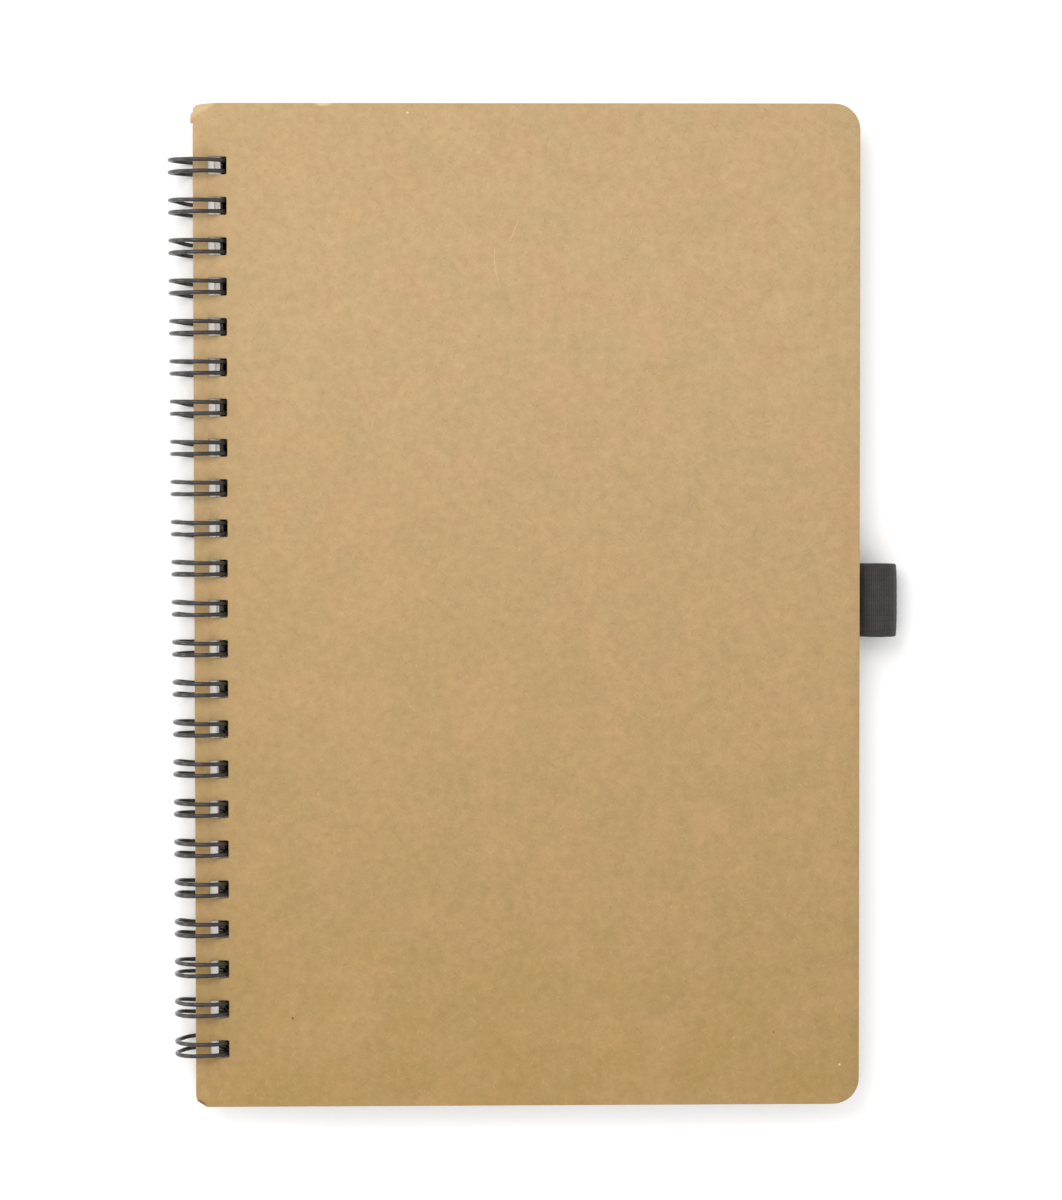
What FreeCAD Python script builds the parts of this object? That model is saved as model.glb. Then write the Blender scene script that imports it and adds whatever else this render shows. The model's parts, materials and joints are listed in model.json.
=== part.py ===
import FreeCAD, Part
import math
import os

from FreeCAD import Rotation, Vector

# A twin-loop wire bound notebook with card covers and an elastic pen loop.
# All sizes are in millimetres. It is drawn about the centre line of the wire
# loops: X runs to the fore-edge, Y up the page and Z up through the pages.

# Cover boards
cover_width = 140.4
cover_height = 211.6
cover_thickness = 0.75
fore_corner_radius = 5.5
spine_corner_radius = 1.0

# Damage to the front cover's spine corners: a small piece is broken out of
# the one at the foot, and the one at the head is worn down to a slope
snip_width = 1.8
snip_height = 2.0
snip_nick = 0.4
worn_length = 5.0
worn_drop = 0.8

# Page block, which the covers overhang
page_stack = 6.7
fore_overhang = 0.9
end_overhang = 1.0
page_corner_radius = 5.0

# Punched row of holes, three to the inch, a little below the cover's middle
hole_pitch = 25.4 / 3
hole_row_margin = 9.0
hole_row_drop = 0.4
edge_to_hole = 3.1
hole_corner_radius = 0.3
hole_side_clearance = 0.32
cover_hole_clearance = 0.15
page_hole_clearance = 0.7

# Twin-loop wire: the two wires of a loop lie closer at the pages than behind
wire_diameter = 0.9
loop_radius = 6.2
twin_spacing_front = 2.22
twin_spacing_back = 2.6
link_bend_radius = 0.7
tip_clearance = 0.1

# Elastic band folded into a loop, and the paper patch that covers its tail
band_thickness = 0.5
band_width = 15.4
pen_radius = 3.7
band_fillet = 1.0
band_raise = 1.0
band_stand_off = 0.85
tail_length = 26.0
patch_length = 30.0
patch_width = 30.0
patch_setback = 1.5
patch_thickness = 0.15

# Gaps that let the covers swing about the loops' centre line
swing_clearance = 0.1
seam_clearance = 0.15
tail_clearance = 0.05

# Heights of the stack above and below the loops' centre line
wire_radius = wire_diameter / 2
pages_top = (page_stack + swing_clearance) / 2
pages_bottom = pages_top - page_stack
tail_thickness = 2 * band_thickness
seam_gap = max(wire_diameter + 2 * seam_clearance,
               tail_thickness + patch_thickness + tail_clearance)
back_cover_top = pages_bottom - seam_gap
back_cover_bottom = back_cover_top - cover_thickness
link_height = (pages_bottom + back_cover_top) / 2

# Distances of the punched rows and board edges from the loops' centre line.
# One punch cuts both covers, and its holes clear the loops at every angle.
hole_count = 1 + int((cover_height - 2 * hole_row_margin) / hole_pitch)
loop_inside = loop_radius - wire_radius
loop_outside = loop_radius + wire_radius
cover_hole_start = math.sqrt((loop_inside - cover_hole_clearance) ** 2
                             - back_cover_bottom ** 2)
cover_hole_end = math.sqrt((loop_outside + cover_hole_clearance) ** 2
                           - pages_top ** 2)
hole_width = cover_hole_end - cover_hole_start
hole_height = twin_spacing_front + wire_diameter + 2 * hole_side_clearance
page_hole_start = (math.sqrt(loop_inside ** 2 - pages_top ** 2)
                   - page_hole_clearance)
cover_spine = cover_hole_start - edge_to_hole
cover_fore = cover_spine + cover_width
page_spine = page_hole_start - edge_to_hole
page_fore = cover_fore - fore_overhang
page_height = cover_height - 2 * end_overhang

# The book lies on the backs of its loops and the back cover's fore-edge,
# so the whole of it leans by a small angle about the loops' centre line.
back_edge_distance = math.hypot(cover_fore, back_cover_bottom)
lean_angle = (math.asin(loop_outside / back_edge_distance)
              - math.atan2(-back_cover_bottom, cover_fore))


def loop_heights():
    """Y of each loop and of the hole row it passes through."""
    row_middle = (hole_count - 1) / 2
    return [(i - row_middle) * hole_pitch - hole_row_drop
            for i in range(hole_count)]


def round_upright_edges(solid, x, radius):
    """Round the upright edges that stand at distance x."""
    edges = [edge for edge in solid.Edges
             if all(abs(v.X - x) < 1e-6 for v in edge.Vertexes)
             and abs(edge.tangentAt(edge.FirstParameter).z) > 0.99]
    return solid.makeFillet(radius, edges)


def sheet(x_start, x_end, height, z_bottom, z_top):
    """A flat block whose middle is at Y zero."""
    corner = Vector(x_start, -height / 2, z_bottom)
    return Part.makeBox(x_end - x_start, height, z_top - z_bottom, corner)


def punch_row(stack, x_start, z_bottom, z_top):
    """Cut the row of nearly square holes that starts at x_start."""
    punch = sheet(x_start, x_start + hole_width, hole_height, z_bottom, z_top)
    punch = round_upright_edges(punch, x_start, hole_corner_radius)
    punch = round_upright_edges(punch, x_start + hole_width, hole_corner_radius)
    punches = []
    for y in loop_heights():
        tool = punch.copy()
        tool.translate(Vector(0, y, 0))
        punches.append(tool)
    return stack.cut(Part.makeCompound(punches))


def cover_board(z_bottom):
    """A card cover with round fore corners and its row of holes."""
    z_top = z_bottom + cover_thickness
    board = sheet(cover_spine, cover_fore, cover_height, z_bottom, z_top)
    board = round_upright_edges(board, cover_fore, fore_corner_radius)
    board = round_upright_edges(board, cover_spine, spine_corner_radius)
    return punch_row(board, cover_hole_start, z_bottom, z_top)


def corner_cutter(end, points):
    """A prism over the spine corner at this end, outside a line of points
    that are given as distances from the corner along the end and the spine."""
    side = math.copysign(1, end)
    beyond_x = cover_spine - spine_corner_radius
    beyond_y = end + side * spine_corner_radius
    outline = [Vector(cover_spine + x, end - side * y, pages_top) for x, y in points]
    outline.append(Vector(beyond_x, outline[-1].y, pages_top))
    outline.append(Vector(beyond_x, beyond_y, pages_top))
    outline.append(Vector(outline[0].x, beyond_y, pages_top))
    outline.append(outline[0])
    face = Part.Face(Part.makePolygon(outline))
    return face.extrude(Vector(0, 0, cover_thickness))


def make_front_cover():
    """The top cover, with its two damaged corners at the spine."""
    snip = [(snip_width, 0), (snip_nick, snip_height / 2), (0, snip_height)]
    slope = [(worn_length, 0), (worn_length / 3, worn_drop / 3), (0, worn_drop)]
    damage = [corner_cutter(-cover_height / 2, snip), corner_cutter(cover_height / 2, slope)]
    return cover_board(pages_top).cut(damage)


def make_back_cover():
    return cover_board(back_cover_bottom)


def make_page_block():
    """All the pages as one block, with a through hole at each loop."""
    block = sheet(page_spine, page_fore, page_height, pages_bottom, pages_top)
    block = round_upright_edges(block, page_fore, page_corner_radius)
    block = round_upright_edges(block, page_spine, spine_corner_radius)
    return punch_row(block, page_hole_start, pages_bottom, pages_top)


# The two wires of a loop lie on circles turned a little from each other.
twin_turn = math.asin((twin_spacing_back - twin_spacing_front) / 4 / loop_radius)
twin_middle = (twin_spacing_back + twin_spacing_front) / 4


def wire_point(loop_y, side, angle):
    """Point of a loop's upper (side 1) or lower (side -1) wire."""
    across = loop_radius * math.cos(angle)
    half_spacing = twin_middle - across * math.sin(twin_turn)
    return Vector(across * math.cos(twin_turn), loop_y + side * half_spacing,
                  loop_radius * math.sin(angle))


def wire_slope(angle):
    """Angle at which the wire runs out of the plane square to Y."""
    return math.asin(math.sin(angle) * math.sin(twin_turn))


def wire_heading(angle):
    """Direction of growing angle along the loop, seen along Y."""
    heading = Vector(-math.sin(angle) * math.cos(twin_turn), 0, math.cos(angle))
    return heading.normalize()


def base_angle():
    """Angle where the wires leave the loop for the links in the seam."""
    reach = math.hypot(loop_radius, link_bend_radius)
    return math.asin(link_height / reach) - math.atan2(link_bend_radius, loop_radius)


def tip_angle():
    """Angle where the loop's closed tip begins, clear of the base bends."""
    bends = twin_spacing_front / 2 + link_bend_radius
    apart = math.sqrt((bends + wire_diameter + tip_clearance) ** 2 - bends ** 2)
    return base_angle() + 2 * math.asin(apart / 2 / loop_radius)


def loop_arcs(loop_y, side):
    """The two arcs of one wire, from the tip round to the base."""
    start = tip_angle()
    step = (base_angle() + 2 * math.pi - start) / 4
    points = [wire_point(loop_y, side, start + i * step) for i in range(5)]
    return [Part.Arc(*points[0:3]).toShape(), Part.Arc(*points[2:5]).toShape()]


def tip_arc(loop_y):
    """The hairpin bend that closes a loop's tip."""
    angle = tip_angle()
    start = wire_point(loop_y, -1, angle)
    end = wire_point(loop_y, 1, angle)
    slope = wire_slope(angle)
    half_spacing = (end.y - start.y) / 2
    onward = wire_heading(angle) * -1
    centre = (start + end) * 0.5 - onward * (half_spacing * math.tan(slope))
    apex = centre + onward * (half_spacing / math.cos(slope))
    return Part.Arc(start, apex, end).toShape()


def base_bend(loop_y, side):
    """The bend from a loop's base into the link beside it."""
    angle = base_angle()
    start = wire_point(loop_y, side, angle)
    slope = wire_slope(angle)
    heading = wire_heading(angle)
    sideways = Vector(0, side, 0)
    inward = sideways * math.cos(slope) - heading * math.sin(slope)
    centre = start + inward * link_bend_radius
    middle = centre + (heading - inward).normalize() * link_bend_radius
    end = centre + heading * link_bend_radius
    return Part.Arc(start, middle, end).toShape(), end


def make_binding_wire():
    """One wire bent into all the twin loops and the links between them."""
    stub = Vector(0, hole_pitch / 4, 0)
    edges = []
    previous = None
    for loop_y in loop_heights():
        lower_bend, lower_end = base_bend(loop_y, -1)
        upper_bend, upper_end = base_bend(loop_y, 1)
        if previous is None:
            previous = lower_end - stub
        edges.append(Part.LineSegment(previous, lower_end).toShape())
        edges.append(lower_bend)
        edges += loop_arcs(loop_y, -1)
        edges.append(tip_arc(loop_y))
        edges += loop_arcs(loop_y, 1)
        edges.append(upper_bend)
        previous = upper_end
    edges.append(Part.LineSegment(previous, previous + stub).toShape())
    path = Part.Wire(Part.__sortEdges__(edges))
    first = path.OrderedEdges[0]
    start = path.OrderedVertexes[0].Point
    direction = first.tangentAt(first.FirstParameter)
    section = Part.Wire(Part.makeCircle(wire_radius, start, direction))
    return path.makePipeShell([section], True, True)


# The band's loop stands just outside the fore-edge of the pages.
band_radius = pen_radius + band_thickness
band_x = page_fore + band_stand_off + band_radius
band_z = back_cover_top + band_radius
tail_start = cover_fore - tail_length
tail_top = back_cover_top + tail_thickness


def across_band(solid_width):
    """Y where something this wide starts when it is centred on the band."""
    return band_raise - solid_width / 2


def band_tube(radius):
    corner = Vector(band_x, across_band(band_width), band_z)
    return Part.makeCylinder(radius, band_width, corner, Vector(0, 1, 0))


def band_web():
    """Where the band's upper layer turns up from the tail into the loop."""
    centre_z = tail_top + band_fillet
    drop = band_z - centre_z
    centre_x = band_x - math.sqrt((band_radius + band_fillet) ** 2 - drop ** 2)
    y = across_band(band_width)
    block = Part.makeBox(band_x - centre_x, band_width, drop + tail_thickness + band_fillet,
                         Vector(centre_x, y, back_cover_top))
    hollow = Part.makeCylinder(band_fillet, band_width,
                               Vector(centre_x, y, centre_z), Vector(0, 1, 0))
    lean = (band_x - centre_x) / (band_radius + band_fillet)
    touch = Vector(centre_x + band_fillet * lean, y,
                   centre_z + band_fillet * drop / (band_radius + band_fillet))
    above = Part.makeBox(band_x - centre_x, band_width, drop + tail_thickness + band_fillet,
                         Vector(centre_x, y, touch.z))
    return block.cut(hollow).cut(above)


def make_pen_loop():
    """One elastic band: a round loop and its two ends glued into a tail."""
    tail = Part.makeBox(band_x - tail_start, band_width, tail_thickness,
                        Vector(tail_start, across_band(band_width), back_cover_top))
    band = band_tube(band_radius).fuse([tail, band_web()])
    return band.cut(band_tube(pen_radius)).removeSplitter()


def make_pen_loop_patch():
    """Paper glued over the tail and down to the back cover all round it."""
    end = cover_fore - patch_setback
    start = end - patch_length
    flat = Part.makeBox(patch_length, patch_width, patch_thickness,
                        Vector(start, across_band(patch_width), back_cover_top))
    raised_width = band_width + 2 * patch_thickness
    raised_start = tail_start - patch_thickness
    raised = Part.makeBox(end - raised_start, raised_width,
                          tail_thickness + patch_thickness,
                          Vector(raised_start, across_band(raised_width), back_cover_top))
    pocket = Part.makeBox(end - tail_start, band_width, tail_thickness,
                          Vector(tail_start, across_band(band_width), back_cover_top))
    return flat.fuse(raised).cut(pocket).removeSplitter()


def settle(pieces):
    """Lean the book onto its rest and set its origin under its middle."""
    for shape in pieces.values():
        shape.rotate(Vector(0, 0, 0), Vector(0, 1, 0), math.degrees(lean_angle))
    box = FreeCAD.BoundBox()
    for shape in pieces.values():
        box.add(shape.optimalBoundingBox(False))
    shift = Vector(-(box.XMin + box.XMax) / 2, -(box.YMin + box.YMax) / 2, loop_outside)
    for shape in pieces.values():
        shape.translate(shift)
    return shift


def save(pieces):
    os.makedirs("parts", exist_ok=True)
    for name, shape in pieces.items():
        shape.exportStep(os.path.join("parts", name + ".step"))


book = {
    "front_cover": make_front_cover(),
    "page_block": make_page_block(),
    "back_cover": make_back_cover(),
    "binding_wire": make_binding_wire(),
    "pen_loop": make_pen_loop(),
    "pen_loop_patch": make_pen_loop_patch(),
}
loop_centre = settle(book)
pen_centre = Rotation(Vector(0, 1, 0), math.degrees(lean_angle)).multVec(
    Vector(band_x, band_raise, band_z)) + loop_centre
save(book)

print("lean in degrees", math.degrees(lean_angle))
print("loops' centre line", loop_centre)
print("pen loop's centre", pen_centre)
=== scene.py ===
import json
import math
import random

import bmesh
import bpy
from mathutils import Matrix, Vector
from mathutils.geometry import tessellate_polygon


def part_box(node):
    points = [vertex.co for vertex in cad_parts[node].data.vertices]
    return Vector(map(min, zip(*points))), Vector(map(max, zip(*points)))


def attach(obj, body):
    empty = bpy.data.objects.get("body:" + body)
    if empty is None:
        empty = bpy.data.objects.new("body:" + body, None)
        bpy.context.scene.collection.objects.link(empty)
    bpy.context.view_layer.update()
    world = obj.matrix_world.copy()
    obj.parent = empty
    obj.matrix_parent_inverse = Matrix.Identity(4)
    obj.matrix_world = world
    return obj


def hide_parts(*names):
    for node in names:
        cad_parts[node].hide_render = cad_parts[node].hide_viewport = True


# A twin-loop wire bound notebook with kraft card covers and an elastic pen
# loop, made here in the order that it is put together.
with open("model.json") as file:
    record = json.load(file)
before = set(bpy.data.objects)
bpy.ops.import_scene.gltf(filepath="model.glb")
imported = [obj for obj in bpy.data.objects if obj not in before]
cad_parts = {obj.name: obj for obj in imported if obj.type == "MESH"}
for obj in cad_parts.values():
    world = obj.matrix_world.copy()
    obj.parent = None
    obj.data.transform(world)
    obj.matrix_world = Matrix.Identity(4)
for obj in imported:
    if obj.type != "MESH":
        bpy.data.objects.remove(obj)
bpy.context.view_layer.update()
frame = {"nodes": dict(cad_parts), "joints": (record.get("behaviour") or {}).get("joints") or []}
chance = random.Random(23)


# Back cover: 0.75 mm kraft card, made from unbleached recycled pulp. One die
# cuts its outline, rounds the two fore corners and punches the row of holes.
# It is the bottom of the stack, and it carries the pen loop.
mm = 0.001
cover_thickness = 0.75 * mm
cover_width = 140.4 * mm
fore_corner = 5.5 * mm
spine_corner = 1.0 * mm
die_crush = 0.12 * mm
loop_count = 23
loop_pitch = 25.4 * mm / 3
loop_row_drop = 0.4 * mm
edge_to_hole = 3.1 * mm
hole_width = 3.94 * mm
hole_height = 3.76 * mm
hole_corner = 0.3 * mm
board_slice = 8.0 * mm
# Painted shade: the card runs from a lit colour at the head to a darker, more saturated one at the foot,
# for the light falling off down the book.
kraft_lit_head_colour = "#A98F67"
kraft_shaded_foot_colour = "#977B4B"
kraft_pink = "#B08A63"
kraft_green = "#A48F61"
kraft_fibre_colour = "#C0A882"
kraft_speck_colour = "#735A3A"
kraft_core_colour = "#9A835F"
# Where the painted shade towards the foot starts and where it is full.
foot_shade_start = 60 * mm
foot_shade_end = -110 * mm

# The book lies flat in its own frame, on the centre line of the wire loops.
# The frame of the room leans it a little, onto its loops and fore-edge.
hinge = Vector(frame["joints"][0]["pos_m"])
front_low, front_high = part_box("front_cover")
lean = math.asin((front_high.z - front_low.z - cover_thickness) / cover_width)
book = Matrix.Translation((hinge.x, 0, hinge.z)) @ Matrix.Rotation(lean, 4, "Y")


def book_box(node):
    """Lowest and highest corner of a node in the book's own frame."""
    unlean = book.inverted()
    points = [unlean @ vertex.co for vertex in frame["nodes"][node].data.vertices]
    low = Vector(min(point[axis] for point in points) for axis in range(3))
    high = Vector(max(point[axis] for point in points) for axis in range(3))
    return low, high


def smooth(start, end, value):
    """0 before start, 1 after end, and an even S between them."""
    share = min(1, max(0, (value - start) / (end - start)))
    return share * share * (3 - 2 * share)


def rounded_sheet(low, high, left_radius, right_radius, steps=8):
    """Points round a sheet with round corners, counterclockwise."""
    corners = [(high.x, low.y, right_radius, -1, 1, -90),
               (high.x, high.y, right_radius, -1, -1, 0),
               (low.x, high.y, left_radius, 1, -1, 90),
               (low.x, low.y, left_radius, 1, 1, 180)]
    ring = []
    for x, y, radius, in_x, in_y, start in corners:
        for step in range(steps + 1):
            turn = math.radians(start + 90 * step / steps)
            ring.append(Vector((x + radius * (in_x + math.cos(turn)),
                                y + radius * (in_y + math.sin(turn)))))
    return ring


def punched_holes(left):
    """The row of nearly square holes, each clockwise, that starts at left."""
    holes = []
    for loop in range(loop_count):
        y = (loop - (loop_count - 1) / 2) * loop_pitch - loop_row_drop
        low = Vector((left, y - hole_height / 2))
        high = Vector((left + hole_width, y + hole_height / 2))
        holes.append(rounded_sheet(low, high, hole_corner, hole_corner, 3)[::-1])
    return holes


def drawn_in(ring, depth):
    """The ring moved this far into the sheet, square to its own line."""
    moved = []
    for before, point, after in zip(ring[-1:] + ring[:-1], ring, ring[1:] + ring[:1]):
        along = (after - before).normalized()
        moved.append(point + Vector((-along.y, along.x)) * depth)
    return moved


def die_cut_levels(rings, bottom, top):
    """The levels of a board whose cut edges the die has pressed round."""
    crush = [(bottom, 1), (bottom + 0.3 * die_crush, 0.3), (bottom + die_crush, 0),
             (top - die_crush, 0), (top - 0.3 * die_crush, 0.3), (top, 1)]
    return [(z, [drawn_in(ring, share * die_crush) for ring in rings]) for z, share in crush]


def stack(levels):
    """A closed solid through levels, each a height and its rings of points."""
    sheet = bmesh.new()
    rows = []
    for z, rings in levels:
        rows.append([[sheet.verts.new((point.x, point.y, z)) for point in ring] for ring in rings])
    for below, above in zip(rows, rows[1:]):
        for lower, upper in zip(below, above):
            for i in range(len(lower)):
                sheet.faces.new((lower[i - 1], lower[i], upper[i], upper[i - 1]))
    for row, (z, rings) in ((rows[0], levels[0]), (rows[-1], levels[-1])):
        corners = [vertex for ring in row for vertex in ring]
        flat = [[point.to_3d() for point in ring] for ring in rings]
        for triangle in tessellate_polygon(flat):
            sheet.faces.new([corners[i] for i in triangle])
    bmesh.ops.recalc_face_normals(sheet, faces=sheet.faces)
    return sheet


def slice_board(board, low, high):
    """Cut the flat faces into squares, so that the board can bend."""
    for axis in range(2):
        for cut in range(1, int((high[axis] - low[axis]) / board_slice) + 1):
            across = Vector((0, 0, 0))
            across[axis] = 1
            place = across * (low[axis] + cut * board_slice)
            parts = board.verts[:] + board.edges[:] + board.faces[:]
            bmesh.ops.bisect_plane(board, geom=parts, plane_co=place, plane_no=across)


def add_piece(name, solid, materials, crease=35, place=book):
    """Move a solid into its place, smooth except at edges sharper than crease."""
    mesh = bpy.data.meshes.new(name)
    solid.to_mesh(mesh)
    solid.free()
    mesh.transform(place)
    for material in materials:
        mesh.materials.append(material)
    for face in mesh.polygons:
        face.use_smooth = True
    mesh.set_sharp_from_angle(angle=math.radians(crease))
    piece = bpy.data.objects.new(name, mesh)
    bpy.context.scene.collection.objects.link(piece)
    return piece


def linear(colour):
    """An sRGB hex colour as the linear colour that a shader takes."""
    shares = [int(colour[i:i + 2], 16) / 255 for i in (1, 3, 5)]
    light = [s / 12.92 if s <= 0.04045 else ((s + 0.055) / 1.055) ** 2.4 for s in shares]
    return (*light, 1)


def add_node(tree, kind, inputs, **settings):
    """Add a node, set it, and give each input its value or the output it takes."""
    node = tree.nodes.new("ShaderNode" + kind)
    for name, value in settings.items():
        setattr(node, name, value)
    for name, value in inputs.items():
        if isinstance(value, bpy.types.NodeSocket):
            tree.links.new(value, node.inputs[name])
        else:
            node.inputs[name].default_value = value
    return node


def start_material(name):
    """An empty material, its tree, and the place on the flat book of each point,
    so that grain, plies and leaves lie level with the book's own faces."""
    material = bpy.data.materials.new(name)
    material.use_nodes = True
    tree = material.node_tree
    tree.nodes.clear()
    leaning = add_node(tree, "TexCoord", {}).outputs["Object"]
    flat = add_node(tree, "Mapping", {"Vector": leaning, "Location": book.translation,
                                      "Rotation": (0, lean, 0)}, vector_type="TEXTURE")
    return material, tree, flat.outputs["Vector"]


def kraft_pulp(tree, place):
    """The card's brown pulp: painted shade makes it a little darker towards the foot,
    where the light falls off, with faint pink and green clouds and a fine grain.
    Returns its colour and the grain."""
    cloud_size = 9 * mm
    flock_size = 1.9 * mm
    grain_size = 0.55 * mm
    clouds = ((cloud_size, kraft_pink, 0, 0.33), (0.7 * cloud_size, kraft_green, 5, 0.14))
    height = add_node(tree, "SeparateXYZ", {"Vector": place}).outputs["Y"]
    # Painted shade: darker towards the foot, as the light falls off.
    foot = add_node(tree, "MapRange", {"Value": height, "From Min": foot_shade_start,
                                       "From Max": foot_shade_end}).outputs["Result"]
    colour = add_node(tree, "MixRGB", {"Fac": foot, "Color1": linear(kraft_lit_head_colour),
                                       "Color2": linear(kraft_shaded_foot_colour)}).outputs["Color"]
    for size, tint, seed, most in clouds:
        cloud = add_node(tree, "TexNoise", {"Vector": place, "W": seed, "Scale": 1 / size, "Detail": 3},
                         noise_dimensions="4D").outputs["Fac"]
        share = add_node(tree, "MapRange", {"Value": cloud, "From Min": 0.42, "From Max": 0.68,
                                            "To Max": most}).outputs["Result"]
        colour = add_node(tree, "MixRGB", {"Fac": share, "Color1": colour,
                                           "Color2": linear(tint)}).outputs["Color"]
    grain = add_node(tree, "TexNoise", {"Vector": place, "Scale": 1 / grain_size, "Detail": 4,
                                        "Roughness": 0.65}).outputs["Fac"]
    flock = add_node(tree, "TexNoise", {"Vector": place, "Scale": 1 / flock_size,
                                        "Detail": 2}).outputs["Fac"]
    tone = 1
    for pattern, change in ((grain, 0.025), (flock, 0.058), (cloud, -0.03)):
        share = add_node(tree, "MapRange", {"Value": pattern, "From Min": 0.3, "From Max": 0.7,
                                            "To Min": 1 - change, "To Max": 1 + change})
        tone = add_node(tree, "Math", {0: tone, 1: share.outputs["Result"]},
                        operation="MULTIPLY").outputs["Value"]
    grey = add_node(tree, "CombineColor", {0: tone, 1: tone, 2: tone}).outputs["Color"]
    colour = add_node(tree, "MixRGB", {"Fac": 1, "Color1": colour, "Color2": grey},
                      blend_type="MULTIPLY").outputs["Color"]
    return colour, grain


def kraft_fibres(tree, place, colour, relief):
    """Pale and dark fibres in three directions. The pale ones stand proud."""
    length = 1.8 * mm
    width = 0.28 * mm
    for layer, turn in enumerate((0.3, 1.25, 2.4)):
        along = add_node(tree, "Mapping", {"Vector": place, "Rotation": (0, 0, turn),
                                           "Scale": (length, width, length)}, vector_type="TEXTURE")
        streak = add_node(tree, "TexNoise", {"Vector": along.outputs["Vector"], "W": layer * 3.1,
                                             "Scale": 1, "Detail": 2}, noise_dimensions="4D")
        streak = streak.outputs["Fac"]
        pale = add_node(tree, "MapRange", {"Value": streak, "From Min": 0.63, "From Max": 0.76,
                                           "To Max": 0.3}).outputs["Result"]
        dark = add_node(tree, "MapRange", {"Value": streak, "From Min": 0.38, "From Max": 0.24,
                                           "To Max": 0.3}).outputs["Result"]
        colour = add_node(tree, "MixRGB", {"Fac": pale, "Color1": colour,
                                           "Color2": linear(kraft_fibre_colour)}).outputs["Color"]
        colour = add_node(tree, "MixRGB", {"Fac": dark, "Color1": colour,
                                           "Color2": linear(kraft_speck_colour)}).outputs["Color"]
        relief = add_node(tree, "Math", {0: relief, 1: pale}, operation="ADD").outputs["Value"]
    return colour, relief


def bark_specks(tree, place, colour):
    """Small dark specks of bark, scattered through the pulp."""
    spacing = 4.5 * mm
    speck = 0.14 * mm
    cell = add_node(tree, "TexVoronoi", {"Vector": place, "Scale": 1 / spacing}).outputs["Distance"]
    near = add_node(tree, "MapRange", {"Value": cell, "From Min": speck / spacing,
                                       "From Max": 0.4 * speck / spacing, "To Max": 0.55})
    return add_node(tree, "MixRGB", {"Fac": near.outputs["Result"], "Color1": colour,
                                     "Color2": linear(kraft_speck_colour)}).outputs["Color"]


def oval_marks_and_shade(tree, place, colour, marks):
    """Oval marks and painted shade, each (x, y, half length, half width, turn, colour)."""
    for x, y, half_length, half_width, turn, mark_colour in marks:
        oval = add_node(tree, "Mapping", {"Vector": place, "Location": (x, y, 0),
                                          "Rotation": (0, 0, turn),
                                          "Scale": (half_length, half_width, 1)}, vector_type="TEXTURE")
        reach = add_node(tree, "VectorMath", {0: oval.outputs["Vector"]}, operation="LENGTH")
        share = add_node(tree, "MapRange", {"Value": reach.outputs["Value"], "From Min": 1,
                                            "From Max": 0.4, "To Max": 0.75}).outputs["Result"]
        colour = add_node(tree, "MixRGB", {"Fac": share, "Color1": colour,
                                           "Color2": linear(mark_colour)}).outputs["Color"]
    return colour


def paint_lit_corner(tree, place, colour, grain, corner):
    """Painted light: a corner made pale out to a ragged slanting line, as the light on a crushed corner
    bent down towards the lamp. The corner is given as (x, y, reach).
    """
    corner_x, corner_y, lit_corner_reach = corner
    away = add_node(tree, "VectorMath", {0: place, 1: (corner_x, corner_y, 0)},
                    operation="SUBTRACT").outputs[0]
    inward = add_node(tree, "VectorMath", {0: away, 1: (0.62, -1, 0)},
                      operation="DOT_PRODUCT").outputs["Value"]
    ragged = add_node(tree, "Math", {0: grain, 1: 1.6 * mm}, operation="MULTIPLY").outputs["Value"]
    reach = add_node(tree, "Math", {0: inward, 1: ragged}, operation="ADD").outputs["Value"]
    share = add_node(tree, "MapRange", {"Value": reach, "From Min": lit_corner_reach + 0.6 * mm,
                                        "From Max": lit_corner_reach, "To Max": 0.55}).outputs["Result"]
    return add_node(tree, "MixRGB", {"Fac": share, "Color1": colour,
                                     "Color2": linear(kraft_fibre_colour)}).outputs["Color"]


def fine_scratches(tree, place, colour, scratches):
    """Pale scratches, each an arc as (centre, radius, middle, length)."""
    half_width = 0.16 * mm
    core = 0.03 * mm
    for centre, radius, middle, length in scratches:
        reaches = []
        for point in (centre, middle):
            away = add_node(tree, "VectorMath", {0: place, 1: (*point, 0)}, operation="SUBTRACT")
            flat = add_node(tree, "VectorMath", {0: away.outputs[0], 1: (1, 1, 0)}, operation="MULTIPLY")
            reach = add_node(tree, "VectorMath", {0: flat.outputs[0]}, operation="LENGTH")
            reaches.append(reach.outputs["Value"])
        off_line = add_node(tree, "Math", {0: reaches[0], 1: radius}, operation="SUBTRACT")
        off_line = add_node(tree, "Math", {0: off_line.outputs["Value"]}, operation="ABSOLUTE")
        line = add_node(tree, "MapRange", {"Value": off_line.outputs["Value"], "From Min": half_width,
                                           "From Max": core, "To Max": 0.5}).outputs["Result"]
        within = add_node(tree, "MapRange", {"Value": reaches[1], "From Min": length / 2,
                                             "From Max": 0.3 * length}).outputs["Result"]
        share = add_node(tree, "Math", {0: line, 1: within}, operation="MULTIPLY").outputs["Value"]
        colour = add_node(tree, "MixRGB", {"Fac": share, "Color1": colour,
                                           "Color2": linear(kraft_fibre_colour)}).outputs["Color"]
    return colour


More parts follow.
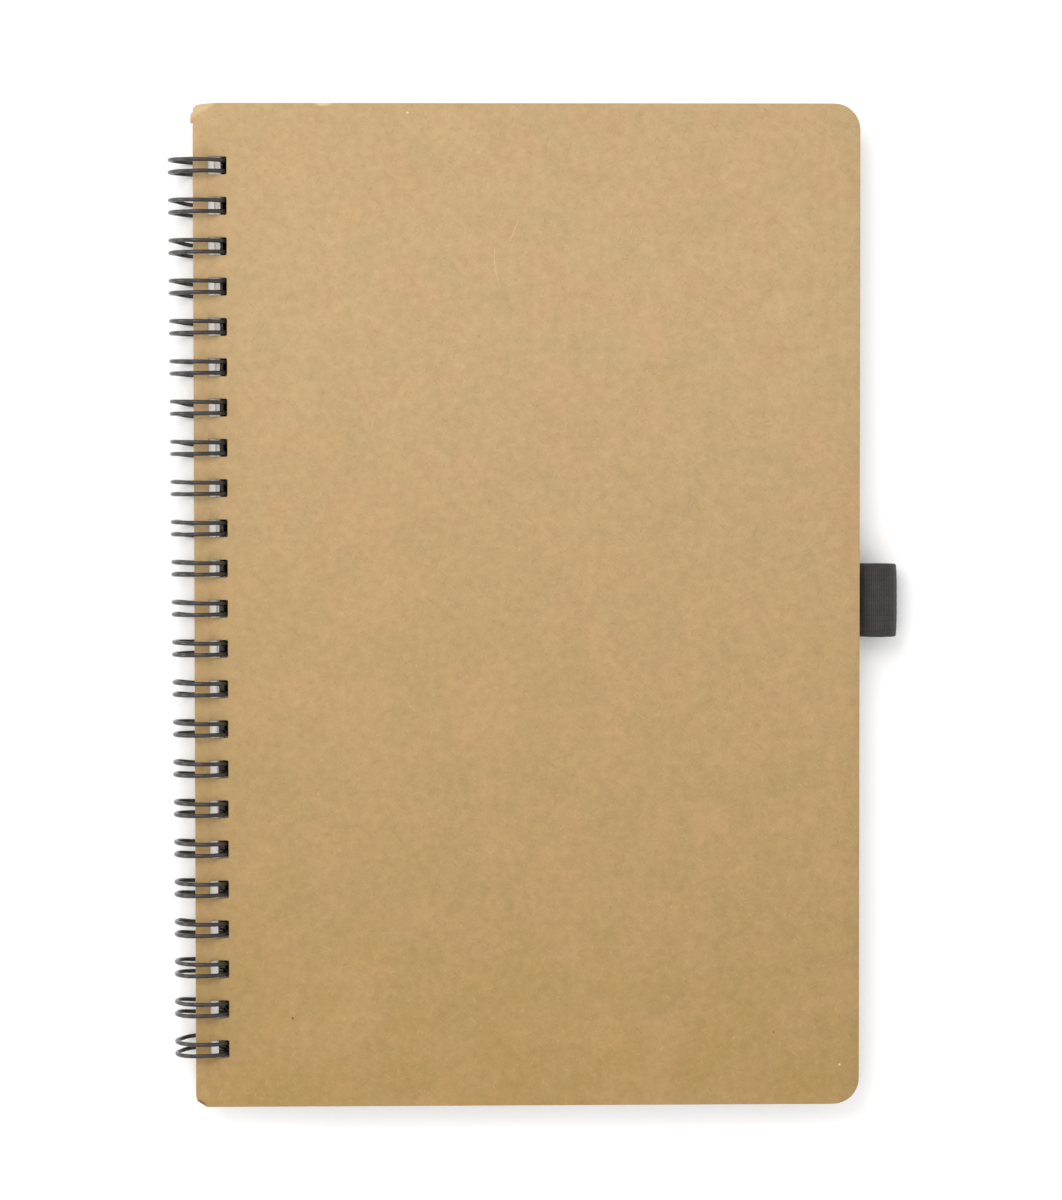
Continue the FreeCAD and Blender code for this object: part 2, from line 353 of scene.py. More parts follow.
def kraft_card(name, marks=(), scratches=(), lit_corner_place=None):
    """Unbleached kraft card, calendered matt: a warm brown sheet with pale and
    dark fibres lying every way, faint clouds of pulp and a dry, soft surface."""
    material, tree, place = start_material(name)
    colour, grain = kraft_pulp(tree, place)
    colour, relief = kraft_fibres(tree, place, colour, grain)
    colour = bark_specks(tree, place, colour)
    colour = oval_marks_and_shade(tree, place, colour, marks)
    # Painted light on the pale head corner.
    if lit_corner_place:
        colour = paint_lit_corner(tree, place, colour, grain, lit_corner_place)
    colour = fine_scratches(tree, place, colour, scratches)
    bump = add_node(tree, "Bump", {"Height": relief, "Strength": 0.35, "Distance": 0.05 * mm})
    card = add_node(tree, "BsdfPrincipled", {"Base Color": colour, "Roughness": 0.82, "IOR": 1.5,
                                             "Specular IOR Level": 0.25, "Normal": bump.outputs["Normal"]})
    add_node(tree, "OutputMaterial", {"Surface": card.outputs["BSDF"]})
    return material


def kraft_cut_edge():
    """The die's cut through kraft card: the plies of raw pulp show as thin
    level lines, paler and rougher than the pressed faces."""
    ply = 0.15 * mm
    ply_run = 4 * mm
    material, tree, place = start_material("kraft_card_cut_edge")
    level = add_node(tree, "Mapping", {"Vector": place, "Scale": (ply_run, ply_run, ply)},
                     vector_type="TEXTURE")
    plies = add_node(tree, "TexNoise", {"Vector": level.outputs["Vector"], "Scale": 1, "Detail": 2})
    colour = add_node(tree, "MixRGB", {"Fac": plies.outputs["Fac"], "Color1": linear(kraft_core_colour),
                                       "Color2": linear(kraft_fibre_colour)}).outputs["Color"]
    bump = add_node(tree, "Bump", {"Height": plies.outputs["Fac"], "Strength": 0.5,
                                   "Distance": 0.05 * mm})
    cut = add_node(tree, "BsdfPrincipled", {"Base Color": colour, "Roughness": 0.92, "IOR": 1.5,
                                            "Specular IOR Level": 0.2, "Normal": bump.outputs["Normal"]})
    add_node(tree, "OutputMaterial", {"Surface": cut.outputs["BSDF"]})
    return material


def mark_cut_faces(board):
    """Give the upright walls of a board the second of its materials."""
    board.normal_update()
    for face in board.faces:
        face.material_index = int(abs(face.normal.z) < 0.7)


cut_edge = kraft_cut_edge()
back_low, back_high = book_box("back_cover")
back_holes = punched_holes(back_low.x + edge_to_hole)
back_outline = rounded_sheet(back_low, back_high, spine_corner, fore_corner)
back_board = stack(die_cut_levels([back_outline] + back_holes, back_low.z, back_high.z))
slice_board(back_board, back_low, back_high)
mark_cut_faces(back_board)
back_cover = add_piece("back_cover_card", back_board, [kraft_card("kraft_card_back"), cut_edge])
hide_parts("back_cover")
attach(back_cover, "back_cover")


# Pen loop: one ribbed elastic band, 15.4 mm wide and 0.5 mm thick, woven from
# polyester over rubber threads. It is folded round into a loop for a pen, and
# its two ends lie glued together on the back cover as a flat tail.
band_thickness = 0.5 * mm
band_outer_radius = 4.2 * mm
band_fillet = 1.0 * mm
band_rib = 0.62 * mm
rib_relief = 0.05 * mm
thread_channel = 1.7 * mm
channel_relief = 0.035 * mm
selvedge_draw = 0.22 * mm
rib_samples = 6
across_samples = 54
elastic_colour = "#2B2827"
elastic_rib_colour = "#3F3C3A"
elastic_channel_colour = "#221F1D"
band_low, band_high = book_box("pen_loop")
ring_x = band_high.x - band_outer_radius
ring_z = band_low.z + band_outer_radius
ring_middle = band_outer_radius - band_thickness / 2


def band_line():
    """Centre line of the band, from the tail's upper end round the loop to
    its lower end, as evenly spaced points along the arcs and runs."""
    upper = band_low.z + 1.5 * band_thickness
    lower = band_low.z + 0.5 * band_thickness
    fillet_z = upper + band_fillet + band_thickness / 2
    fillet_x = ring_x - math.sqrt((band_outer_radius + band_fillet) ** 2 - (ring_z - fillet_z) ** 2)
    touch = math.atan2(ring_z - fillet_z, ring_x - fillet_x)
    fillet_radius = band_fillet + band_thickness / 2
    step = band_rib / rib_samples
    line = []
    for i in range(int((fillet_x - band_low.x) / step)):
        line.append(Vector((band_low.x + i * step, 0, upper)))
    count = int(fillet_radius * (math.pi / 2 + touch) / step)
    for i in range(count):
        turn = -math.pi / 2 + (math.pi / 2 + touch) * i / count
        line.append(Vector((fillet_x + fillet_radius * math.cos(turn), 0,
                            fillet_z + fillet_radius * math.sin(turn))))
    sweep = math.pi * 1.5 + touch
    count = int(ring_middle * sweep / step)
    for i in range(count):
        turn = math.pi + touch - sweep * i / count
        line.append(Vector((ring_x + ring_middle * math.cos(turn), 0,
                            ring_z + ring_middle * math.sin(turn))))
    for i in range(int((ring_x - band_low.x) / step) + 1):
        line.append(Vector((ring_x - i * step, 0, lower)))
    return line


def band_section():
    """The band's rounded section, as (across, out) shares of its half sizes,
    and how deep the channels between its rubber threads are there."""
    half_width = (band_high.y - band_low.y) / 2
    rounding = band_thickness / 2 / half_width
    top = []
    for i in range(across_samples + 1):
        across = math.sin((i / across_samples - 0.5) * math.pi * 0.5) / math.sin(math.pi * 0.25)
        beyond = max(0, (abs(across) - 1 + rounding) / rounding)
        top.append((across, max(0.12, math.sqrt(max(0, 1 - beyond * beyond)))))
    return top + [(across, -out) for across, out in reversed(top)]


def woven_band():
    """The band swept along its line, with ribs across it, channels along it
    and selvedges that draw in a little round the loop."""
    line = band_line()
    half_width = (band_high.y - band_low.y) / 2
    middle_y = (band_high.y + band_low.y) / 2
    section = band_section()
    band = bmesh.new()
    weave = band.loops.layers.uv.new("weave")
    rows = []
    for i, point in enumerate(line):
        along = (line[min(i + 1, len(line) - 1)] - line[max(i - 1, 0)]).normalized()
        outward = Vector((-along.z, 0, along.x))
        rib = rib_relief * (0.5 - 0.5 * math.cos(2 * math.pi * i / rib_samples))
        looseness = smooth(0, band_outer_radius, (point - Vector((ring_x, 0, band_low.z))).z)
        row = []
        for across, out in section:
            thread_turn = 2 * math.pi * across * half_width / thread_channel
            channel = channel_relief * max(0, math.cos(thread_turn)) ** 4
            depth = out * (band_thickness / 2 - rib - channel)
            draw = selvedge_draw * looseness * across ** 4
            row.append(band.verts.new(point + outward * (depth - draw)
                                      + Vector((0, middle_y + across * half_width, 0))))
        rows.append(row)
    for i in range(len(rows) - 1):
        for j in range(len(section)):
            corners = (rows[i][j - 1], rows[i][j], rows[i + 1][j], rows[i + 1][j - 1])
            face = band.faces.new(corners)
            for loop, row_number in zip(face.loops, (i, i, i + 1, i + 1)):
                loop[weave].uv = (row_number / rib_samples, loop.vert.co.y / thread_channel)
    band.faces.new(rows[0])
    band.faces.new(rows[-1][::-1])
    bmesh.ops.recalc_face_normals(band, faces=band.faces)
    return band


def woven_elastic():
    """Ribbed elastic webbing of dull black polyester yarn: crosswise ribs with
    dark gaps, faint lengthwise channels and a soft sheen where the band turns."""
    yarn = 0.22 * mm
    faded_patch = 2.2 * mm
    material, tree, place = start_material("woven_polyester_elastic")
    weave = add_node(tree, "UVMap", {}, uv_map="weave").outputs["UV"]
    ribs = add_node(tree, "TexWave", {"Vector": weave, "Scale": 0.5, "Distortion": 0.4,
                                      "Detail": 1}, bands_direction="X").outputs["Fac"]
    lengthwise = add_node(tree, "TexWave", {"Vector": weave, "Scale": 0.5, "Distortion": 1.6},
                          bands_direction="Y").outputs["Fac"]
    yarns = add_node(tree, "TexNoise", {"Vector": place, "Scale": 1 / yarn, "Detail": 2}).outputs["Fac"]
    broad = add_node(tree, "TexNoise", {"Vector": place, "Scale": 1 / faded_patch,
                                        "Detail": 2}).outputs["Fac"]
    colour = add_node(tree, "MixRGB", {"Fac": ribs, "Color1": linear(elastic_colour),
                                       "Color2": linear(elastic_rib_colour)}).outputs["Color"]
    dark = add_node(tree, "MapRange", {"Value": lengthwise, "From Min": 0.25, "From Max": 0,
                                       "To Max": 0.22}).outputs["Result"]
    colour = add_node(tree, "MixRGB", {"Fac": dark, "Color1": colour,
                                       "Color2": linear(elastic_channel_colour)}).outputs["Color"]
    fuzz = add_node(tree, "MapRange", {"Value": yarns, "From Min": 0.35, "From Max": 0.65,
                                       "To Min": 0.8, "To Max": 1.2}).outputs["Result"]
    patchy = add_node(tree, "MapRange", {"Value": broad, "From Min": 0.35, "From Max": 0.65,
                                         "To Min": 0.92, "To Max": 1.08}).outputs["Result"]
    tone = add_node(tree, "Math", {0: fuzz, 1: patchy}, operation="MULTIPLY").outputs["Value"]
    grey = add_node(tree, "CombineColor", {0: tone, 1: tone, 2: tone}).outputs[0]
    colour = add_node(tree, "MixRGB", {"Fac": 1, "Color1": colour, "Color2": grey},
                      blend_type="MULTIPLY").outputs["Color"]
    relief = add_node(tree, "Math", {0: ribs, 1: yarns}, operation="ADD").outputs["Value"]
    bump = add_node(tree, "Bump", {"Height": relief, "Strength": 0.6, "Distance": 0.06 * mm})
    cloth = add_node(tree, "BsdfPrincipled", {"Base Color": colour, "Roughness": 0.85, "IOR": 1.5,
                                              "Specular IOR Level": 0.2, "Sheen Weight": 0.12,
                                              "Sheen Roughness": 0.5, "Normal": bump.outputs["Normal"]})
    add_node(tree, "OutputMaterial", {"Surface": cloth.outputs["BSDF"]})
    return material


pen_loop = add_piece("pen_loop_elastic", woven_band(), [woven_elastic()], crease=60)
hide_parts("pen_loop")
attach(pen_loop, "back_cover")


# Patch: a square of 0.15 mm uncoated paper, glued down over the pen loop's
# tail and onto the back cover all round it. The paper drapes off the tail's
# edges in short slopes, so the tail's shape shows through it.
patch_thickness = 0.15 * mm
patch_drape = 1.3 * mm
patch_cells = 60
patch_colour = "#CBBFA8"
patch_fibre_colour = "#DCD3C0"
# Painted shade in the gaps between the page block's leaves, on its edges.
leaf_gap_shade_colour = "#9D968A"
patch_low, patch_high = book_box("pen_loop_patch")


def draped_paper():
    """The patch as a closed sheet that rises over the tail."""
    half_tail = (band_high.y - band_low.y) / 2 + patch_thickness
    middle_y = (band_high.y + band_low.y) / 2
    rise = patch_high.z - patch_low.z - patch_thickness
    paper = bmesh.new()
    layers = []
    for under in (0, patch_thickness):
        layer = []
        for i in range(patch_cells + 1):
            x = patch_low.x + (patch_high.x - patch_low.x) * i / patch_cells
            row = []
            for j in range(patch_cells + 1):
                y = patch_low.y + (patch_high.y - patch_low.y) * j / patch_cells
                off_tail = math.hypot(max(0, band_low.x - patch_thickness - x),
                                      max(0, abs(y - middle_y) - half_tail))
                z = patch_low.z + patch_thickness + rise * (1 - smooth(0, patch_drape, off_tail))
                row.append(paper.verts.new((x, y, z - under)))
            layer.append(row)
        layers.append(layer)
    upper, lower = layers
    for layer in layers:
        for i in range(patch_cells):
            for j in range(patch_cells):
                paper.faces.new((layer[i][j], layer[i + 1][j], layer[i + 1][j + 1], layer[i][j + 1]))
    for i in range(patch_cells):
        for side in (0, patch_cells):
            paper.faces.new((upper[i][side], upper[i + 1][side], lower[i + 1][side], lower[i][side]))
            paper.faces.new((upper[side][i], upper[side][i + 1], lower[side][i + 1], lower[side][i]))
    bmesh.ops.recalc_face_normals(paper, faces=paper.faces)
    return paper


def uncoated_paper(name, colour_name, fibre_name, leaf=None):
    """Uncoated paper, machine-made: a matt sheet, barely mottled, with short
    fibres. With a leaf's thickness given, its edges also get thin dark lines of painted shade in the gaps
    between leaf and leaf."""
    fibre = 0.8 * mm
    mottle = 14 * mm
    leaf_wave = 25 * mm
    material, tree, place = start_material(name)
    pulp = add_node(tree, "TexNoise", {"Vector": place, "Scale": 1 / fibre, "Detail": 4,
                                       "Roughness": 0.6})
    broad = add_node(tree, "TexNoise", {"Vector": place, "Scale": 1 / mottle, "Detail": 2})
    mixed = add_node(tree, "Math", {0: pulp.outputs["Fac"], 1: broad.outputs["Fac"]},
                     operation="MULTIPLY").outputs["Value"]
    share = add_node(tree, "MapRange", {"Value": mixed, "From Min": 0.12, "From Max": 0.4})
    colour = add_node(tree, "MixRGB", {"Fac": share.outputs["Result"], "Color1": linear(colour_name),
                                       "Color2": linear(fibre_name)}).outputs["Color"]
    # Painted shade: thin dark lines between the leaves, on the upright faces only.
    if leaf:
        level = add_node(tree, "Mapping", {"Vector": place, "Scale": (leaf_wave, leaf_wave, leaf)},
                         vector_type="TEXTURE")
        leaves = add_node(tree, "TexNoise", {"Vector": level.outputs["Vector"], "Scale": 1,
                                             "Detail": 1}).outputs["Fac"]
        facing = add_node(tree, "NewGeometry", {}).outputs["Normal"]
        upright = add_node(tree, "SeparateXYZ", {"Vector": facing}).outputs["Z"]
        upright = add_node(tree, "Math", {0: upright}, operation="ABSOLUTE").outputs["Value"]
        on_edge = add_node(tree, "MapRange", {"Value": upright, "From Min": 0.7, "From Max": 0.3})
        gap_shade = add_node(tree, "MapRange", {"Value": leaves, "From Min": 0.5, "From Max": 0.35,
                                          "To Max": 0.45}).outputs["Result"]
        gap_shade = add_node(tree, "Math", {0: gap_shade, 1: on_edge.outputs["Result"]},
                       operation="MULTIPLY").outputs["Value"]
        colour = add_node(tree, "MixRGB", {"Fac": gap_shade, "Color1": colour,
                                           "Color2": linear(leaf_gap_shade_colour)}).outputs["Color"]
    bump = add_node(tree, "Bump", {"Height": pulp.outputs["Fac"], "Strength": 0.15,
                                   "Distance": 0.04 * mm})
    paper = add_node(tree, "BsdfPrincipled", {"Base Color": colour, "Roughness": 0.9, "IOR": 1.5,
                                              "Specular IOR Level": 0.2, "Normal": bump.outputs["Normal"]})
    add_node(tree, "OutputMaterial", {"Surface": paper.outputs["BSDF"]})
    return material


patch_paper = uncoated_paper("uncoated_patch_paper", patch_colour, patch_fibre_colour)
patch = add_piece("pen_loop_patch_paper", draped_paper(), [patch_paper])
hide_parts("pen_loop_patch")
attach(patch, "back_cover")


# Page block: about seventy leaves of uncoated white paper, cut square with
# round fore corners and punched in lifts. No two lifts lie quite flush, and
# the lower ones have slid along the wire, which shows as a step in the holes.
lift_count = 16
page_fore_corner = 5.0 * mm
lift_slack = 0.13 * mm
top_lifts = 2
top_shift_head = -0.7 * mm
top_shift_foot = -0.3 * mm
lower_shift_head = 0.65 * mm
lower_shift_foot = -0.5 * mm
leaf_shown = 0.2 * mm
page_colour = "#E6E4DF"
page_fibre_colour = "#F2F0EC"
page_low, page_high = book_box("page_block")


def page_levels():
    """Each lift of leaves as a bottom and a top level, a little out of line."""
    levels = []
    lift_height = (page_high.z - page_low.z) / lift_count
    hole_left = page_low.x + edge_to_hole
    for lift in range(lift_count):
        from_top = lift_count - 1 - lift
        slack = 0 if lift in (0, lift_count - 1) else chance.uniform(0, lift_slack)
        outline = rounded_sheet(page_low, page_high, spine_corner, page_fore_corner, 7)
        shift_head, shift_foot = ((top_shift_head, top_shift_foot) if from_top < top_lifts
                                  else (lower_shift_head, lower_shift_foot))
        holes = []
        for number, hole in enumerate(punched_holes(hole_left)):
            shift = shift_foot + (shift_head - shift_foot) * number / (loop_count - 1)
            holes.append([Vector((point.x + shift * (point.x < hole_left + hole_width / 2), point.y))
                          for point in hole])
        rings = [drawn_in(outline, slack)] + [drawn_in(hole, slack * 0.6) for hole in holes]
        bottom = page_low.z + lift * lift_height
        levels += [(bottom, rings), (bottom + lift_height, rings)]
    return levels


white_paper = uncoated_paper("uncoated_white_page_paper", page_colour, page_fibre_colour, leaf_shown)
pages = add_piece("page_leaves", stack(page_levels()), [white_paper])
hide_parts("page_block")
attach(pages, "pages")


# Front cover: the same die-cut kraft card as the back cover. Use has worn its
# corner at the head to a slope with a loose flake, painted pale as light on a crushed
# corner bent down towards the lamp, and broken a chip off the corner at the foot.
# It springs up a little towards the fore-edge.
worn_along_head = 5.0 * mm
worn_down_spine = 0.8 * mm
chip_width = 2.3 * mm
chip_height = 2.3 * mm
chip_nick = 0.35 * mm
flake_reach = 0.5 * mm
flake_top = 2.2 * mm
flake_bottom = 4.2 * mm
fore_spring = 0.3 * mm
lit_patch_reach = 3.6 * mm
cover_low, cover_high = book_box("front_cover")


def from_corner(x, head=None, foot=0.0):
    """A point at x from the spine, and down from the head or up from the foot."""
    return Vector((cover_low.x + x, cover_low.y + foot if head is None else cover_high.y - head))


def worn_outline():
    """The front cover's outline with its worn and its chipped corner."""
    ring = rounded_sheet(cover_low, cover_high, spine_corner, fore_corner)
    fore_part = ring[:len(ring) // 2]
    head = [from_corner(worn_along_head, head=0),
            from_corner(worn_along_head * 0.6, head=0.12 * mm),
            from_corner(worn_along_head / 3, head=worn_down_spine / 3),
            from_corner(0.5 * mm, head=worn_down_spine * 0.7),
            from_corner(0.05 * mm, head=1.3 * mm)]
    flake = [from_corner(0, head=flake_top - 0.25 * mm),
             from_corner(-flake_reach * 0.7, head=flake_top),
             from_corner(-flake_reach, head=flake_top + 0.5 * mm),
             from_corner(-flake_reach, head=flake_bottom),
             from_corner(-0.12 * mm, head=flake_bottom + 0.05 * mm),
             from_corner(0, head=flake_bottom - 0.3 * mm)]
    chip = [from_corner(0, foot=chip_height), from_corner(chip_nick * 0.6, foot=chip_height * 0.63),
            from_corner(chip_nick, foot=chip_height * 0.54), from_corner(chip_width * 0.8, foot=0.3 * mm),
            from_corner(chip_width, foot=0)]
    return fore_part + head + flake + chip


def spring_up(board):
    """Lift the board's fore part from the pages, most at mid height."""
    for vertex in board.verts:
        along = smooth(cover_low.x + 0.25 * cover_width, cover_high.x, vertex.co.x)
        up_page = vertex.co.y / cover_high.y
        vertex.co.z += fore_spring * along * (1 - 0.35 * up_page * up_page)


scuff = "#CDB891"
dot = "#D8C8A6"
dark_speck = "#4A3A28"
# A dark line along the chip's broken edge: painted shade of that edge.
chip_edge_shade = "#54402A"
cover_marks = [(26.2 * mm, 105.8 * mm, 2.2 * mm, 0.8 * mm, 0, scuff),
               (43.9 * mm, 103.8 * mm, 0.35 * mm, 0.3 * mm, 0, dot),
               (135.1 * mm, -97.4 * mm, 0.35 * mm, 0.3 * mm, 0, dot),
               (19.3 * mm, -87.0 * mm, 0.3 * mm, 0.35 * mm, 0, dark_speck),
               (121.1 * mm, -90.4 * mm, 0.25 * mm, 0.25 * mm, 0, dark_speck),
               (0.12 * mm, -104.8 * mm, 1.35 * mm, 0.42 * mm, math.radians(-31), chip_edge_shade)]
cover_scratches = [((50.1 * mm, 85.6 * mm), 17.5 * mm, (66.4 * mm, 79.2 * mm), 6.0 * mm),
                   ((79.9 * mm, 73.9 * mm), 17.8 * mm, (62.3 * mm, 71.4 * mm), 10.0 * mm)]
# The pale head corner is painted light.
front_kraft = kraft_card("kraft_card_front", cover_marks, cover_scratches,
                         (cover_low.x, cover_high.y, lit_patch_reach))
front_board = stack(die_cut_levels([worn_outline()] + punched_holes(cover_low.x + edge_to_hole),
                                   cover_low.z, cover_high.z))
slice_board(front_board, cover_low, cover_high)
mark_cut_faces(front_board)
spring_up(front_board)
front_cover = add_piece("front_cover_card", front_board, [front_kraft, cut_edge])
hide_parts("front_cover")
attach(front_cover, "front_cover")


# Binding wire: one nylon-coated steel wire, 0.9 mm thick, bent into 23 twin
# loops with short links between them. It is closed last, so that the loops'
# tips tuck in beside the links in the seam between the pages and the back
# cover. Closed by hand, the loops lean a little and are tighter at the foot.
wire_radius = 0.439 * mm
loop_radius = 6.2 * mm
spacing_at_pages = 2.22 * mm
spacing_behind = 2.6 * mm
link_bend = 0.7 * mm
tip_gap = 0.1 * mm
tightest_pull = 0.9 * mm
least_sway = 0.1 * mm
most_sway = 0.6 * mm
foot_loop_sway = -0.4 * mm
sway_apart = 0.15 * mm
lean_start = 205
lean_most = 258
lean_end = 298
arc_step = math.radians(6)
bend_steps = 6
tip_steps = 12
wire_colour = "#282524"
wire_rub_colour = "#423E3C"
link_z = (page_low.z + back_high.z) / 2
twin_turn = math.asin((spacing_behind - spacing_at_pages) / 4 / loop_radius)
twin_middle = (spacing_behind + spacing_at_pages) / 4
base_turn = (math.asin(link_z / math.hypot(loop_radius, link_bend))
             - math.atan2(link_bend, loop_radius))
tip_side = spacing_at_pages / 2 + link_bend
tip_apart = math.sqrt((tip_side + 2 * wire_radius + tip_gap) ** 2 - tip_side ** 2)
tip_turn = base_turn + 2 * math.asin(tip_apart / 2 / loop_radius)


def loop_pull(loop):
    """How much tighter this loop is drawn at its back than a round one."""
    from_head = (loop_count - 1 - loop) / (loop_count - 1)
    return tightest_pull * min(1, 1.25 * from_head) * from_head ** 0.2


def wire_point(loop_y, side, turn, pull, sway):
    """Point of a loop's upper (side 1) or lower (side -1) wire. A pull flattens
    the loop's back, and sway leans it along the spine below the book's edge. It
    stays nearly straight where an opened cover's holes hold it, near 128 and 218
    degrees."""
    across = loop_radius * math.cos(turn)
    half_spacing = twin_middle - across * math.sin(twin_turn)
    degrees = math.degrees(turn)
    leaning = smooth(lean_start, lean_most, degrees) * (1 - smooth(lean_most, lean_end, degrees))
    flattened = pull * min(0, math.cos(turn)) ** 2
    return Vector((across + flattened, loop_y + side * half_spacing - sway * leaning,
                   loop_radius * math.sin(turn)))


def quarter_bend(loop_y, side):
    """Points of the bend from a loop's base into the link beside it."""
    start = wire_point(loop_y, side, base_turn, 0, 0)
    inward = Vector((0, side * link_bend, 0))
    heading = Vector((-math.sin(base_turn), 0, math.cos(base_turn))) * link_bend
    turns = [math.pi / 2 * i / bend_steps for i in range(1, bend_steps + 1)]
    return [start + inward - inward * math.cos(turn) + heading * math.sin(turn) for turn in turns]


def one_wire(loop_y, side, pull, sway):
    """Points of one of a loop's two wires, from its tip round to its base."""
    count = int((base_turn + math.tau - tip_turn) / arc_step)
    step = (base_turn + math.tau - tip_turn) / count
    return [wire_point(loop_y, side, tip_turn + i * step, pull, sway) for i in range(count + 1)]


def hairpin(loop_y):
    """Points of the bend that closes a loop's tip."""
    start = wire_point(loop_y, -1, tip_turn, 0, 0)
    end = wire_point(loop_y, 1, tip_turn, 0, 0)
    middle = (start + end) / 2
    half = (end - start) / 2
    onward = Vector((math.sin(tip_turn), 0, -math.cos(tip_turn))) * half.length
    turns = [math.pi * i / tip_steps for i in range(1, tip_steps)]
    return [middle - half * math.cos(turn) + onward * math.sin(turn) for turn in turns]


def binding_line():
    """The whole wire's line, through every loop from the foot to the head."""
    line = []
    for loop in range(loop_count):
        loop_y = (loop - (loop_count - 1) / 2) * loop_pitch - loop_row_drop
        pull = loop_pull(loop)
        lean_of_loop = chance.uniform(least_sway, most_sway) if loop else foot_loop_sway
        lower_sway = lean_of_loop + chance.uniform(-1, 1) * sway_apart
        upper_sway = lean_of_loop + chance.uniform(-1, 1) * sway_apart
        line += quarter_bend(loop_y, -1)[::-1]
        line += one_wire(loop_y, -1, pull, lower_sway)[::-1]
        line += hairpin(loop_y)
        line += one_wire(loop_y, 1, pull, upper_sway)
        line += quarter_bend(loop_y, 1)
    stub = Vector((0, loop_pitch / 4, 0))
    return [line[0] - stub] + line + [line[-1] + stub]


def coated_wire():
    """Nylon-coated steel wire: a smooth charcoal skin, semi-gloss, which takes
    a soft grey light on its round backs and is rubbed paler in places."""
    drawn_length = 3.0 * mm
    skin_grain = 0.3 * mm
    material, tree, place = start_material("nylon_coated_steel_wire")
    wear = add_node(tree, "TexNoise", {"Vector": place, "Scale": 1 / drawn_length,
                                       "Detail": 3}).outputs["Fac"]
    rubbed = add_node(tree, "MapRange", {"Value": wear, "From Min": 0.45, "From Max": 0.75,
                                         "To Max": 0.6}).outputs["Result"]
    colour = add_node(tree, "MixRGB", {"Fac": rubbed, "Color1": linear(wire_colour),
                                       "Color2": linear(wire_rub_colour)}).outputs["Color"]
    gloss = add_node(tree, "MapRange", {"Value": wear, "From Min": 0.3, "From Max": 0.7,
                                        "To Min": 0.2, "To Max": 0.34}).outputs["Result"]
    skin = add_node(tree, "TexNoise", {"Vector": place, "Scale": 1 / skin_grain,
                                       "Detail": 1}).outputs["Fac"]
    bump = add_node(tree, "Bump", {"Height": skin, "Strength": 0.08, "Distance": 0.03 * mm})
    nylon = add_node(tree, "BsdfPrincipled", {"Base Color": colour, "Roughness": gloss, "IOR": 1.53,
                                              "Specular IOR Level": 0.32, "Coat Weight": 0.15,
                                              "Coat Roughness": 0.08, "Normal": bump.outputs["Normal"]})
    add_node(tree, "OutputMaterial", {"Surface": nylon.outputs["BSDF"]})
    return material


def round_wire(name, line, radius):
    """A round wire with closed ends along a line of points."""
    curve = bpy.data.curves.new(name + "_line", "CURVE")
    curve.dimensions = "3D"
    run = curve.splines.new("POLY")
    run.points.add(len(line) - 1)
    for point, place in zip(run.points, line):
        point.co = (*place, 1)
    curve.bevel_depth = radius
    curve.bevel_resolution = 5
    curve.use_fill_caps = True
    guide = bpy.data.objects.new(name + "_line", curve)
    bpy.context.scene.collection.objects.link(guide)
    bpy.context.view_layer.update()
    solid = bmesh.new()
    swept = guide.to_mesh()
    solid.from_mesh(swept)
    bmesh.ops.remove_doubles(solid, verts=solid.verts, dist=0.001 * mm)
    guide.to_mesh_clear()
    bpy.data.objects.remove(guide)
    return solid


wire_solid = round_wire("binding_wire", binding_line(), wire_radius)
wire = add_piece("binding_wire_coated", wire_solid, [coated_wire()], crease=70)
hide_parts("binding_wire")
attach(wire, "pages")


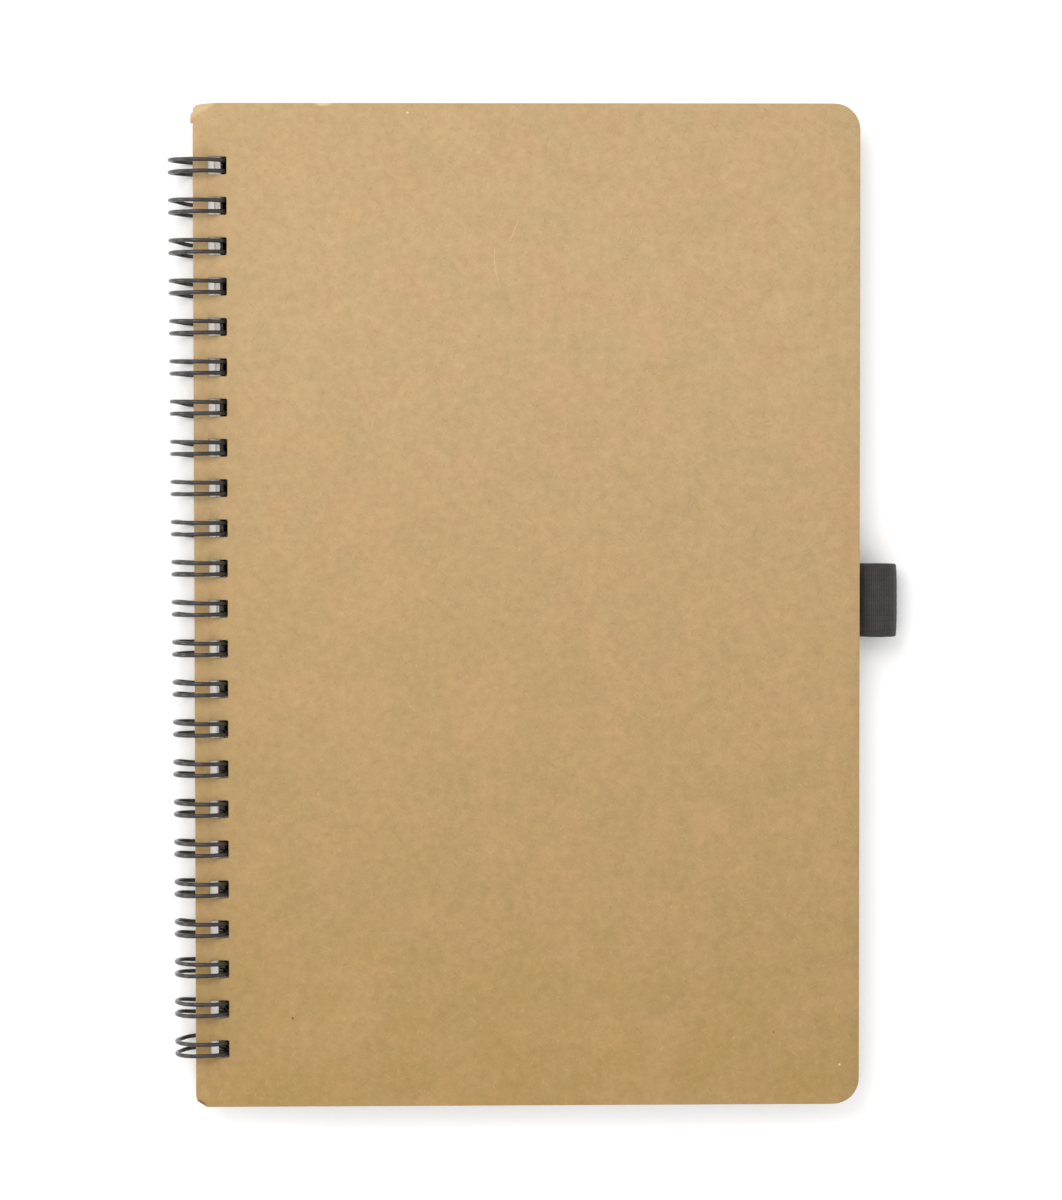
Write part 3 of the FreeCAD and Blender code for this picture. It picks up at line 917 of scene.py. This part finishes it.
# Studio table: a matt white board, lit so strongly that it turns pure white
# away from the book. A white room lights it from all round, a large soft lamp
# stands beyond the head of the book, and a low strip lamp on the left draws
# the grey lines of light along the backs of the wire loops.
table_size = 4.0
table_colour = "#F3F3F3"
table_mottle_colour = "#F5F5F5"
room_light = 1.06
lamp_place = Vector((-0.25, 0.42, 0.75))
lamp_size = 0.5
lamp_power = 3.0
strip_place = Vector((-0.9, 0.05, 0.28))
strip_length = 0.7
strip_height = 0.35
strip_power = 3.3
camera_place = Vector((-0.0202, 0.0386, 1.0))
camera_turn = (-2.155, -1.132, -0.055)
camera_lens = 140.9
camera_film = 36.0


def matt_board():
    """White laminated board: even, matt, with the faintest mottle."""
    material, tree, place = start_material("matt_white_board")
    mottle = add_node(tree, "TexNoise", {"Vector": place, "Scale": 6, "Detail": 2}).outputs["Fac"]
    colour = add_node(tree, "MixRGB", {"Fac": mottle, "Color1": linear(table_colour),
                                       "Color2": linear(table_mottle_colour)}).outputs["Color"]
    board = add_node(tree, "BsdfPrincipled", {"Base Color": colour, "Roughness": 0.95,
                                              "Specular IOR Level": 0.1})
    add_node(tree, "OutputMaterial", {"Surface": board.outputs["BSDF"]})
    return material


table_top = bmesh.new()
bmesh.ops.create_grid(table_top, x_segments=8, y_segments=8, size=table_size / 2)
table = add_piece("table", table_top, [matt_board()], place=Matrix.Identity(4))

room = bpy.data.worlds.new("white_room")
room.use_nodes = True
room.node_tree.nodes.clear()
room_air = add_node(room.node_tree, "Background", {"Color": (1, 1, 1, 1), "Strength": room_light})
add_node(room.node_tree, "OutputWorld", {"Surface": room_air.outputs["Background"]})
bpy.context.scene.world = room


def add_lamp(name, place, power, length, height):
    """A soft oblong lamp that faces the book."""
    light = bpy.data.lights.new(name, "AREA")
    light.shape = "RECTANGLE"
    light.size = length
    light.size_y = height
    light.energy = power
    lamp = bpy.data.objects.new(name, light)
    lamp.location = place
    lamp.rotation_euler = (-place).to_track_quat("-Z", "Y").to_euler()
    bpy.context.scene.collection.objects.link(lamp)


add_lamp("head_lamp", lamp_place, lamp_power, lamp_size, lamp_size)
add_lamp("strip_lamp", strip_place, strip_power, strip_length, strip_height)

camera_data = bpy.data.cameras.new("camera")
camera_data.sensor_width = camera_film
camera_data.lens = camera_lens
camera = bpy.data.objects.new("camera", camera_data)
camera.location = camera_place
camera.rotation_euler = [math.radians(turn) for turn in camera_turn]
bpy.context.scene.collection.objects.link(camera)
bpy.context.scene.camera = camera
bpy.context.scene.view_settings.view_transform = "Standard"
